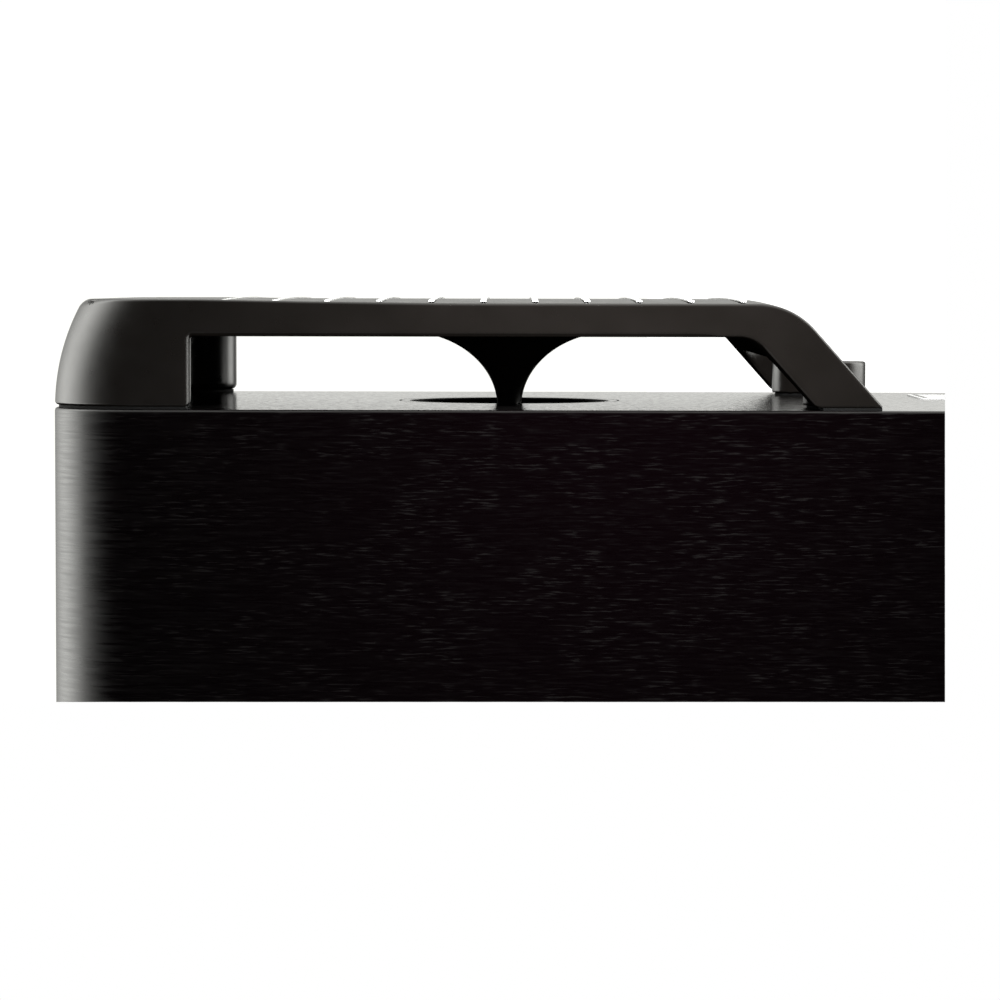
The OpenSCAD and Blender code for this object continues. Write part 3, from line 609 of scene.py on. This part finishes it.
PORT_R, FLARE_R, TUBE_T = 25.0, 7.25, 2.5
BRACKET_H, BRIDGE_GAP, FOAM_T = 31.9, 21.2, 0.8
SLOPE = math.radians(48.4)
FOOT_T, LEG_FOOT, SIDE_GAP, LIP_CHAMFER = 243.8, 19.5, 0.6, 1.4
ARM_IN, ARM_END, ARM_ROUND = 81.0, 42.0, 10.0
BAY_T, BAY_R = 24.0, 8.0
LEG_IN, LEG_CUT_T, LEG_CUT_R, LIP_END_T = 75, 212, 12, 192.5
KNEE_R, INNER_KNEE_R, CORNER_R = 22.5, 10, 26
BOSS_X, BOSS_T, BOSS_R, BOSS_TOP = 66, 231, 9.2, 13.8
SCREW_X, SCREW_T, WELL_SEAT, WELL_R, WELL_HOLE_R = 79, 16, 7, 4.5, 2.1
CONE_WELL_R, CONE_WELL_D = 4.2, 3.2
PORT_T = (HEIGHT - PORT_Z) / MM


def port():
    mouth = PORT_R + FLARE_R
    quarter = np.radians(np.linspace(0, 90, 15))
    bell = [(mouth - FLARE_R * math.sin(a), -FLARE_R * (1 - math.cos(a))) for a in quarter]
    quarter = np.radians(np.linspace(0, 90, 8))
    tail = [(PORT_R + 5 * (1 - math.cos(a)), -115 - 5 * math.sin(a)) for a in quarter]
    back = [(r + TUBE_T * 0.8, z + 0.4) for r, z in tail[:2:-1]]
    back += [(PORT_R + TUBE_T, -110), (PORT_R + TUBE_T, -14)]
    rim = [(mouth + 0.2, -6), (mouth + 0.2, -2.3), (34.35, -2.3), (34.35, -0.35), (34.0, 0)]
    lathe("port_tube_piece", [*bell, *tail, *back, *rim], from_rear(0, PORT_Z), ["port_tube"], segments=160)


def lean(h):
    return 64 - np.sqrt(np.maximum(64**2 - h**2, 0))


def slant(t, h, foot):
    """Distance outside the sloping face of the leg that meets the panel at foot."""
    return (t - foot) * math.sin(SLOPE) + h * math.cos(SLOPE)


def bracket_distance(x, t, h):
    side = np.abs(x)
    edge = HALF_W / MM - SIDE_GAP
    base_lip = 0.5 * np.clip((1.5 - h) / 0.7, 0, 1)
    draft = 0.012 * h
    plan = rounded(side + draft + base_lip - edge, lean(h) + base_lip - t, CORNER_R)
    crown = BRACKET_H - np.interp(t, [45, 74, 120], [0, 0.5, 1.0]) * (side / 95) ** 2
    profile = bent(h - crown, slant(t, h, FOOT_T), math.cos(SLOPE), KNEE_R)
    top_round = np.interp(t, [8, 20, 60, 110], [2.5, 0.6, 0.6, 0.9])
    body = rounded(plan, profile, top_round)
    body = rounded(body, FOAM_T - h, 0.15)
    under = bent(h - BRIDGE_GAP, slant(t, h, FOOT_T - LEG_FOOT), math.cos(SLOPE), INNER_KNEE_R)
    bay = rounded(side - ARM_IN, BAY_T - t, BAY_R)
    open_plan = -rounded(-bay, t - ARM_END, ARM_ROUND)
    body = rounded(body, -rounded(under, open_plan, 0.8), np.interp(t, [43.5, 50], [2.2, 1.1]))
    bevel = (edge - LIP_CHAMFER - side + h - BRIDGE_GAP) / math.sqrt(2)
    bevel = np.maximum(np.maximum(bevel, ARM_END - t), t - LIP_END_T)
    body = rounded(body, -bevel, 0.2)
    body = rounded(body, -rounded(side - LEG_IN, LEG_CUT_T - t, LEG_CUT_R), 1.0)
    tower = rounded(np.hypot(side - BOSS_X, t - BOSS_T) - BOSS_R, h - BOSS_TOP, 0.6)
    rib = np.maximum(np.maximum(np.abs(side - BOSS_X - 5.4) - 5, np.abs(t - BOSS_T) - 3), h - 9)
    feet = rounded(np.minimum(tower, rib), FOAM_T - h, 0.3)
    body = np.minimum(body, feet)
    for px, pt, seat, wide in (
        (SCREW_X, SCREW_T, WELL_SEAT, WELL_R), (BOSS_X, BOSS_T, WELL_SEAT, WELL_R),
        (0, PORT_T, BRACKET_H - CONE_WELL_D, CONE_WELL_R),
    ):
        radius = np.hypot(side - px, t - pt)
        well = np.minimum(np.maximum(radius - wide, seat - h), radius - WELL_HOLE_R)
        body = rounded(body, -well, 0.5)
    return body


def bracket():
    half = [(56, 60, 2), (60, 66, 1), (66, 73, 1), (73, 92, 0.6), (92, 95.8, 0.3)]
    xs = lines(*[(-b, -a, s) for a, b, s in half[::-1]], (-56, -6, 3), (-6, 6, 0.6), (6, 56, 3), *half)
    ts = lines(
        (-0.8, 8, 0.45), (8, 24, 0.6), (24, 43.2, 0.6), (43.2, 128, 4.6), (128, 141, 0.65),
        (141, 197, 4), (197, 212, 1), (212, 245, 0.7),
    )
    hs = lines(
        (0.2, 2.6, 0.3), (2.6, 12.8, 0.9), (12.8, 14.6, 0.4), (14.6, 19.2, 0.9), (19.2, 24, 0.3), (24, 28, 1),
        (28, 32.8, 0.3),
    )

    def where(x, t, h):
        return (x * MM, Y_REAR + h * MM, HEIGHT - t * MM)

    mesh = moulded("bracket", bracket_distance, (xs, ts, hs), where)
    piece("bracket", mesh, ["port_bracket"], sharp=None)


def trumpet(h):
    return 3.8 + 29 * (1 - math.sqrt(1 - ((h + 2) / 23.5) ** 2))


def diffuser():
    rim = 0.7
    heights = np.sin(np.radians(np.linspace(0, 90, 40))) * (BRIDGE_GAP - rim + 2) - 2
    body = [(trumpet(h), h) for h in heights]
    tip = [(0, -14), (0.7, -13.85), (1.4, -13.5), (2.0, -12.8), (2.5, -11.6), (2.9, -9.8)]
    tip += [(3.25, -7), (3.55, -4)]
    widest = body[-1][0]
    edge = [(widest + 0.15, BRIDGE_GAP - 0.45), (widest + 0.15, BRIDGE_GAP - 0.15)]
    edge += [(widest, BRIDGE_GAP), (0, BRIDGE_GAP)]
    profile = [*tip, *body, *edge]
    lathe("diffuser", profile, from_rear(0, PORT_Z), ["diffuser_cone"], segments=160, closed=False)


port()
bracket()
diffuser()

# ---- terminals ----


def terminal_cup():
    bm = bmesh.new()
    where = from_rear(0, PLATE_Z)
    path = [(70, 38, 5, -19), (70, 38, 5, 1), (84, 48, 5, 1), (84, 48, 5, 3)]
    path += [(83.7, 47.7, 4.9, 3.35), (83, 47, 4.7, 3.5)]
    mouth = [(66.6, 34.6, 4.6, 3.5), (65.7, 33.7, 4, 3.2), (65.2, 33.2, 3.8, 2.5), (64, 32, 3.4, -14.5)]
    mouth += [(63.4, 31.4, 3.1, -15.8), (62, 30, 2.6, -16.4), (60.5, 28.5, 2.2, -16.5)]
    rows = [loop_at(bm, round_rect(w, h, r), z, where) for w, h, r, z in path]
    cup = [loop_at(bm, round_rect(w, h, r), z, where) for w, h, r, z in mouth]
    for group in (rows, cup):
        for a, b in zip(group, group[1:]):
            join_loops(bm, a, b)
    recesses = []
    for sx in (-1, 1):
        for sy in (-1, 1):
            spot = circle(3.2, sx * 38.4, sy * 19.5, 32)
            top, seat = (loop_at(bm, spot, z, where) for z in (3.5, 2.4))
            join_loops(bm, top, seat)
            fill(bm, seat)
            recesses.append(top)
    fill(bm, rows[-1], cup[0], *recesses)
    posts = [(RED_X, 1), (BLACK_X, 1)]
    floor_holes = [loop_at(bm, circle(3.05, -x / MM, 0, 32), -16.5, where) for x, _ in posts]
    back_holes = [loop_at(bm, circle(3.05, -x / MM, 0, 32), -19, where) for x, _ in posts]
    for a, b in zip(floor_holes, back_holes):
        join_loops(bm, a, b)
    fill(bm, cup[-1], *floor_holes)
    fill(bm, rows[0], *back_holes)
    piece("terminal_cup", mesh_of("terminal_cup", bm), ["terminal_plate"])


def binding_post(colour, x):
    where = from_rear(x, PLATE_Z)
    knob = soften([
        (3.05, -11.5, 0), (5.2, -11.5, 0.4), (6.4, -10.6, 0.4), (6.4, 0.2, 0.5), (5.6, 1.5, 0.5),
        (3.9, 1.5, 0.3), (3.05, 1.0, 0),
    ])
    lathe(f"{colour}_knob", knob, where, [f"{colour}_post_knob"], f"{colour}_knob", 240, 16, 0.55)
    collar = soften([
        (3.05, -16.5, 0), (6.6, -16.5, 0), (6.6, -12.9, 0.5), (6.0, -12.5, 0.2), (3.05, -12.5, 0),
    ])
    lathe(f"{colour}_collar", collar, where, [f"{colour}_post_collar"], "root", 96)


terminal_cup()
binding_post("red", RED_X)
binding_post("black", BLACK_X)

# ---- woofer ----


def radial_blend(obj):
    """Bakes the piece's placement into its mesh."""
    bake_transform(obj)


def sheet_profile(line, thick):
    """A closed profile for a sheet of even thickness under a line of (radius, height) points."""
    return [*line, *[(r, z - thick) for r, z in line[::-1]]]


def woofer():
    where = from_front(0, WOOFER_Z)
    ring = soften([
        (68.2, 0.05, 0), (82.6, 0.05, 0), (82.6, 3.5, 1.5), (77.5, 3.5, 0.3), (77.2, 3.0, 0.2),
        (76.4, 3.0, 0.2),
        (76.1, 3.5, 0.3), (71.5, 3.5, 0.8), (68.2, 1.0, 0.4),
    ], closed=True)
    lathe("woofer_trim", ring, where, ["woofer_trim_ring"], segments=200)
    span = np.linspace(0, 1, 33) ** 1.15
    face = [(13.05 + 40.95 * f, -24 + 22 * f**0.8) for f in span]
    face += [(55, -2.0), (58, -2.0)]
    lathe("woofer_cone_piece", sheet_profile(face, 0.9), where, ["woofer_cone"], "woofer_diaphragm", 200)
    base = -24 + 22 * (4.95 / 40.95) ** 0.8
    cap = [(18 * math.sin(a) / math.sin(math.radians(37)), a) for a in np.radians(np.linspace(37, 0, 24))]
    radius = 18 / math.sin(math.radians(37))
    cap = [(r, base + radius * (math.cos(a) - math.cos(math.radians(37)))) for r, a in cap]
    lip = [(18.9, base - 0.1), (18.7, base + 0.35), (18.2, base + 0.2)]
    inner = [(r * 0.97, z - 0.5) for r, z in cap[::-1]]
    whole_cap = [*lip, *cap, *inner]
    lathe("woofer_cap_piece", whole_cap, where, ["woofer_dust_cap"], "woofer_diaphragm", 144, closed=False)
    roll = [(62.5 - 4.5 * math.cos(a), -1.3 + 4.5 * math.sin(a)) for a in np.radians(np.linspace(0, 180, 33))]
    line = [(54.4, -1.3), (56.5, -1.3), *roll, (67.6, -1.2), (69.0, -0.1), (75.9, -0.05)]
    surround = lathe("surround", sheet_profile(line, 0.7), where, ["woofer_surround"], None, 200)
    radial_blend(surround)
    wave = [(13.6 + 30.4 * f, -34 + 1.3 * math.sin(8 * math.pi * f)) for f in np.linspace(0, 1, 97)]
    cloth = sheet_profile([*wave, (50.2, -34)], 0.5)
    spider = lathe("spider", cloth, where, ["woofer_spider"], None, 144, sharp=60)
    radial_blend(spider)


def tweeter():
    where = from_front(0, TWEETER_Z)
    horn = [(15.4 + 22.6 * f, -7 * (1 - f) ** 2) for f in np.linspace(0, 1, 33)]
    plate = [*horn, (39, 0.0), (49.2, 0.0), (49.8, -0.25), (50, -0.8), (50, -4), (37.5, -4)]
    plate += [(37.5, -10), (15.4, -10)]
    bm = bmesh.new()
    rows = [loop_at(bm, circle(r, steps=192), z, where) for r, z in plate]
    face = rows.index(rows[len(horn)])
    for i, (a, b) in enumerate(zip(rows, rows[1:] + rows[:1])):
        if i != face:
            join_loops(bm, a, b)
    recesses = []
    for k in range(4):
        a = math.radians(45 + 90 * k)
        spot = circle(3.1, 43.5 * math.cos(a), 43.5 * math.sin(a), 32)
        top, seat = (loop_at(bm, spot, z, where) for z in (0, -1.9))
        join_loops(bm, top, seat)
        fill(bm, seat)
        recesses.append(top)
    fill(bm, rows[face + 1], rows[face], *recesses)
    piece("tweeter_plate", mesh_of("tweeter_plate", bm), ["tweeter_faceplate"])
    radius = (12.7**2 + 4.6**2) / (2 * 4.6)
    edge = math.asin(12.7 / radius)
    angles = np.linspace(edge, 0, 28)
    dome = [(radius * math.sin(a), -10.1 + 4.6 + radius * (math.cos(a) - 1)) for a in angles]
    shell = [*dome, *[(r, z - 0.3) for r, z in dome[::-1]][1:]]
    lathe("dome", shell, where, ["tweeter_dome"], "tweeter_diaphragm", 128, closed=False)
    half_turn = np.radians(np.linspace(0, 180, 17))
    roll = [(14.2 - 1.2 * math.cos(a), -10.4 + 1.2 * math.sin(a)) for a in half_turn]
    line = [(12.9, -10.35), *roll, (15.5, -10.2), (19.5, -10.2)]
    ring = lathe("dome_roll", sheet_profile(line, 0.25), where, ["tweeter_surround"], None, 128)
    radial_blend(ring)


woofer()
tweeter()

# ---- light, floor and camera ----


def studio_world():
    """A white backdrop for the camera, even light on matt surfaces, and a soft studio for gloss: a long
    softbox overhead, another below, a bright wall on the far side and a dark room behind the camera."""
    world = bpy.data.worlds.new("studio")
    bpy.context.scene.world = world
    world.use_nodes = True
    tree = world.node_tree
    tree.nodes.clear()

    def add(kind, **settings):
        node = tree.nodes.new(kind)
        for key, value in settings.items():
            setattr(node, key, value)
        return node

    def curve(source, low, high, *stops):
        span = add("ShaderNodeMapRange")
        span.inputs["From Min"].default_value, span.inputs["From Max"].default_value = low, high
        tree.links.new(source, span.inputs["Value"])
        ramp = add("ShaderNodeValToRGB")
        ramp.color_ramp.interpolation = "EASE"
        elements = ramp.color_ramp.elements
        while len(elements) < len(stops):
            elements.new(0.5)
        for element, (at, value) in zip(elements, stops):
            element.position = (at - low) / (high - low)
            element.color = (value / 12, value / 12, value / 12, 1)
        tree.links.new(span.outputs["Result"], ramp.inputs["Fac"])
        return ramp.outputs["Color"]

    def maths(operation, a, b):
        node = add("ShaderNodeMath", operation=operation)
        for socket, value in zip(node.inputs, (a, b)):
            if isinstance(value, (int, float)):
                socket.default_value = value
            else:
                tree.links.new(value, socket)
        return node.outputs[0]

    split = add("ShaderNodeSeparateXYZ")
    tree.links.new(add("ShaderNodeTexCoord").outputs["Generated"], split.inputs[0])
    x, y, z = split.outputs
    room = maths("MULTIPLY", curve(x, -1, 1, *ROOM), curve(z, -1, 1, *ROOF))
    box = curve(maths("ARCTAN2", z, x), -math.pi, math.pi, *[(math.radians(a), v) for a, v in SOFTBOX])
    strip = curve(y, -1, 1, (-0.8, 0), (-0.5, 12), (0.6, 12), (0.95, 2))
    above = curve(y, -1, 1, (0.35, 0), (0.9, 1.5))
    gloss = maths("ADD", maths("ADD", maths("MULTIPLY", room, 12), maths("MULTIPLY", box, strip)), above)
    path = add("ShaderNodeLightPath")
    glossy = maths("MULTIPLY", maths("MULTIPLY", gloss, 12), path.outputs["Is Glossy Ray"])
    other = maths("SUBTRACT", 1, path.outputs["Is Glossy Ray"])
    seen = maths("MULTIPLY", path.outputs["Is Camera Ray"], 0.45)
    strength = maths("ADD", glossy, maths("MULTIPLY", other, maths("ADD", seen, DIFFUSE)))
    background = add("ShaderNodeBackground")
    background.inputs["Color"].default_value = (1, 1, 0.96, 1)
    tree.links.new(strength, background.inputs["Strength"])
    tree.links.new(background.outputs[0], add("ShaderNodeOutputWorld").inputs["Surface"])


# Radiance towards each X and Z, and by the angle from +X through +Z in degrees.
ROOM = ((-1, 0.95), (-0.2, 0.95), (0.45, 0.4), (0.8, 0.01), (1, 0.01))
ROOF = ((-1, 0.2), (-0.45, 0.25), (-0.25, 1.0), (0.15, 1.0), (0.32, 0.25), (1, 0.3))
SOFTBOX = (
    (-180, 0), (-131, 0), (-119, 6), (-80, 8), (-62, 0), (45, 0), (58, 0.3), (74, 1.6), (91, 5),
    (103, 6.4), (117, 5.7), (127, 3.6), (141, 1.4), (155, 0.45), (172, 0), (180, 0),
)
DIFFUSE = 0.62
FILL = 0.56
studio_world()


def area_light(name, place, target, size, watts, glossy=True, spread=180):
    light = bpy.data.lights.new(name, "AREA")
    light.shape, light.size, light.energy = "SQUARE", size, watts
    light.spread = math.radians(spread)
    obj = bpy.data.objects.new(name, light)
    obj.location = place
    obj.rotation_euler = (Vector(target) - Vector(place)).to_track_quat("-Z", "Y").to_euler()
    obj.visible_glossy = glossy
    obj.visible_camera = False
    bpy.context.scene.collection.objects.link(obj)


area_light("key", (-0.9, -1.5, 1.5), (0, 0, 0.2), 0.9, 16)
area_light("low_fill", (0.55, 0.42, 0.19), (HALF_W, 0.125, 0.19), 0.08, FILL, False, 33)


def floor():
    s = Shader("floor_matt", (0.8, 0.8, 0.79), 0.95, specular=0.0)
    s.color(s.ramp(s.noise(300, detail=3.0), (0.3, (0.79, 0.79, 0.78)), (0.7, (0.81, 0.81, 0.8))))
    reach = s.add("ShaderNodeVectorMath", operation="LENGTH")
    s.link(s.place, reach.inputs[0])
    s.bsdf.inputs["Emission Color"].default_value = (1, 1, 1, 1)
    s.link(s.ramp(reach.outputs["Value"], (0.4, 0.0), (0.72, 0.75)), s.bsdf.inputs["Emission Strength"])
    bm = bmesh.new()
    angles = np.linspace(0, 2 * math.pi, 65)[:-1]
    rim = [bm.verts.new((5 * math.cos(a), 5 * math.sin(a), -0.0003)) for a in angles]
    bm.faces.new(rim)
    mesh = mesh_of("floor", bm)
    mesh.materials.append(s.mat)
    obj = bpy.data.objects.new("floor", mesh)
    obj.visible_glossy = False
    bpy.context.scene.collection.objects.link(obj)


floor()

camera = bpy.data.cameras.new("camera")
camera.sensor_width, camera.lens, camera.clip_start, camera.clip_end = 36, 134.4, 0.0005, 20
eye = bpy.data.objects.new("camera", camera)
bpy.context.scene.collection.objects.link(eye)
bpy.context.scene.camera = eye
place = Vector((HALF_W + 1.08, Y_REAR + 36.2 * MM, HEIGHT - 134.8 * MM))
target = Vector((HALF_W, Y_REAR - 26.0 * MM, HEIGHT - 131.9 * MM))
backward = (place - target).normalized()
right = Vector((0, 0.0021, -1))
right = (right - backward * right.dot(backward)).normalized()
up = backward.cross(right)
eye.matrix_world = Matrix.Translation(place) @ Matrix((right, up, backward)).transposed().to_4x4()


def crop_cards():
    """The photo was cropped on two sides and padded with white. Two specks of white card, a
    millimetre in front of this camera, crop its view in the same way and are out of sight of others."""
    card = bpy.data.materials.new("card")
    card.use_nodes = True
    tree = card.node_tree
    tree.nodes.clear()
    glow = tree.nodes.new("ShaderNodeEmission")
    glow.inputs["Strength"].default_value = 1.0
    tree.links.new(glow.outputs[0], tree.nodes.new("ShaderNodeOutputMaterial").inputs["Surface"])
    away = 0.001
    half = away * 18 / camera.lens
    edge_x, edge_y = (945 - 500) / 500 * half, -(702 - 500) / 500 * half
    for name, x0, x1, y0, y1 in (
        ("card_right", edge_x, 1.2 * half, -1.2 * half, 1.2 * half),
        ("card_below", -1.2 * half, edge_x, -1.2 * half, edge_y),
    ):
        mesh = bpy.data.meshes.new(name)
        corners = ((x0, y0, -away), (x1, y0, -away), (x1, y1, -away), (x0, y1, -away))
        mesh.from_pydata([eye.matrix_world @ Vector(c) for c in corners], [], [(0, 1, 2, 3)])
        mesh.materials.append(card)
        obj = bpy.data.objects.new(name, mesh)
        bpy.context.scene.collection.objects.link(obj)
        for ray in ("diffuse", "glossy", "transmission", "volume_scatter", "shadow"):
            setattr(obj, f"visible_{ray}", False)


crop_cards()
bpy.context.scene.view_settings.view_transform = "Standard"
